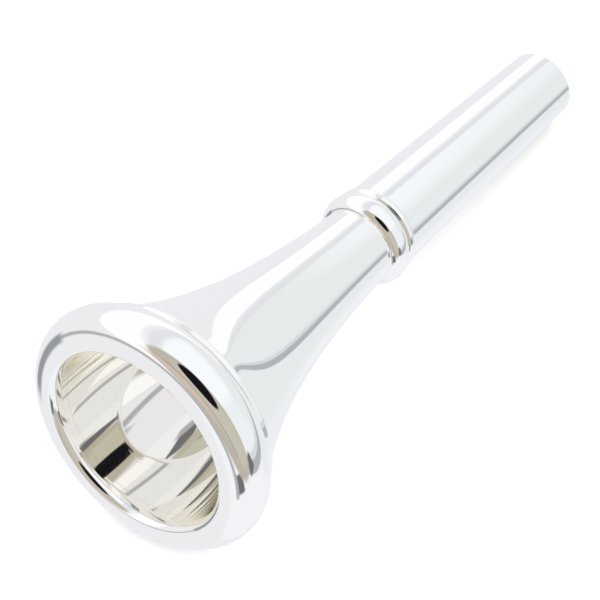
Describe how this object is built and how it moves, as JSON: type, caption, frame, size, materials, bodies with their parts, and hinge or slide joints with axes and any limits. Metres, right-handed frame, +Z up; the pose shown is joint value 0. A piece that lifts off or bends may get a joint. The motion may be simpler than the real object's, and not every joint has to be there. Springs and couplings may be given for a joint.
{
  "type": "french horn mouthpiece",
  "caption": "Turned brass horn mouthpiece, silver plated: screw-on rim, flared cup with a ring at its foot, and a tapered push-fit shank, lying on its side.",
  "frame": {"origin": "on the surface it lies on, under the middle of its bounding box", "axes": "+Z up from that surface; +Y from the rim towards the shank's tip, the bore sloping down 8.1 degrees that way; +X to the side"},
  "size_m": [0.0254, 0.0684, 0.0253],
  "materials": {
    "silver_plate": "mirror-polished silver plate over brass",
    "seal": "matt black rubber"
  },
  "bodies": {
    "cup": {"cup": "silver_plate"},
    "rim_seal": {"rim_o_ring": "seal"},
    "rim": {"rim": "silver_plate"},
    "shank": {"shank": "silver_plate"}
  },
  "joints": [
    {"name": "rim_advance", "type": "slide", "parent": "cup", "child": "rim_seal", "axis": [0, -0.99, 0.1408], "range_m": [0, 0.00263]},
    {"name": "rim_turn", "type": "hinge", "parent": "rim_seal", "child": "rim", "pos_m": [0, -0.03011, 0.01265], "axis": [0, -0.99, 0.1408], "range_deg": [0, 1260]},
    {"name": "shank_pull", "type": "slide", "parent": "cup", "child": "shank", "axis": [0, 0.99, -0.1408], "range_m": [0, 0.007]}
  ],
  "couplings": [
    {"joint": "rim_advance", "follows": "rim_turn", "m_per_rad": 0.00011937}
  ]
}
